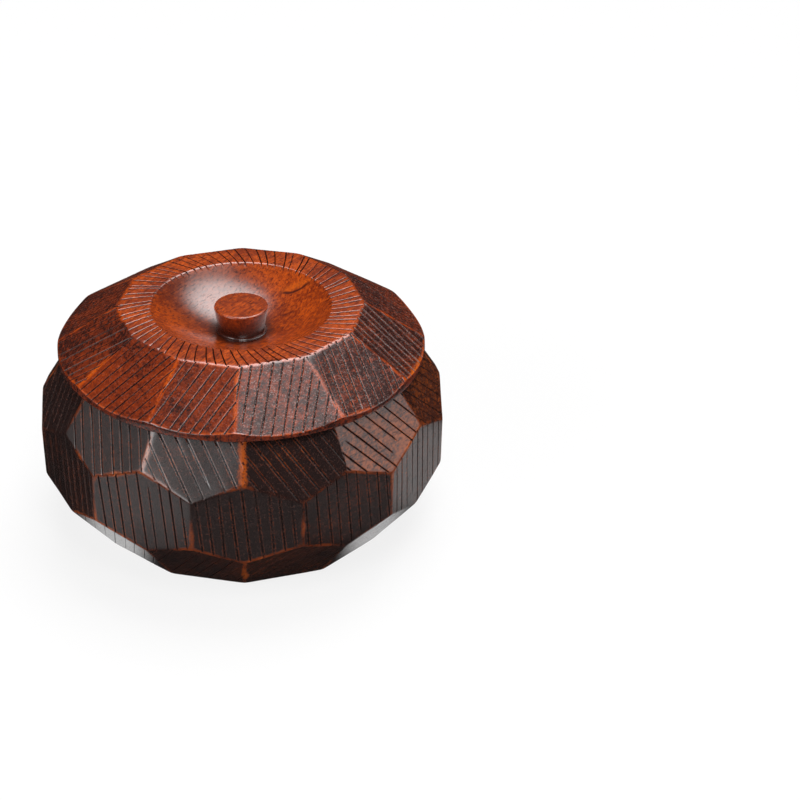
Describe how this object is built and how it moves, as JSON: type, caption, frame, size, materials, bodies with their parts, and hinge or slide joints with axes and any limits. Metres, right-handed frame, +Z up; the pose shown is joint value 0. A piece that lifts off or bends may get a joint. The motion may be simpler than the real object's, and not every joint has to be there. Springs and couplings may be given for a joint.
{
  "type": "rice tub",
  "caption": "Round wooden rice tub, planed outside into three staggered rows of facets, with a lift-off lid whose turned dish holds a flared knob.",
  "frame": {"origin": "middle of the foot, on the plane that the tub stands on", "axes": "+Z up along the turning axis; -Y towards the viewer of the picture, through the middle of a belt facet"},
  "size_m": [0.2082, 0.2082, 0.1204],
  "materials": {
    "tub_lacquer": "dark brown-black wiped lacquer over carved wood, semi-gloss, rubbed to red-brown on the ridges",
    "lid_lacquer": "orange-red wiped lacquer over open-grained wood, satin facets and a glossier turned dish",
    "knob_lacquer": "red-brown wiped lacquer, glossy, darkening to near black at the foot"
  },
  "bodies": {
    "tub": {"tub": "tub_lacquer"},
    "lid": {"lid": "lid_lacquer", "knob": "knob_lacquer"}
  },
  "joints": [
    {"name": "lid_lift", "type": "slide", "parent": "tub", "child": "lid", "axis": [0, 0, 1], "range_m": [0, 0.12]}
  ]
}
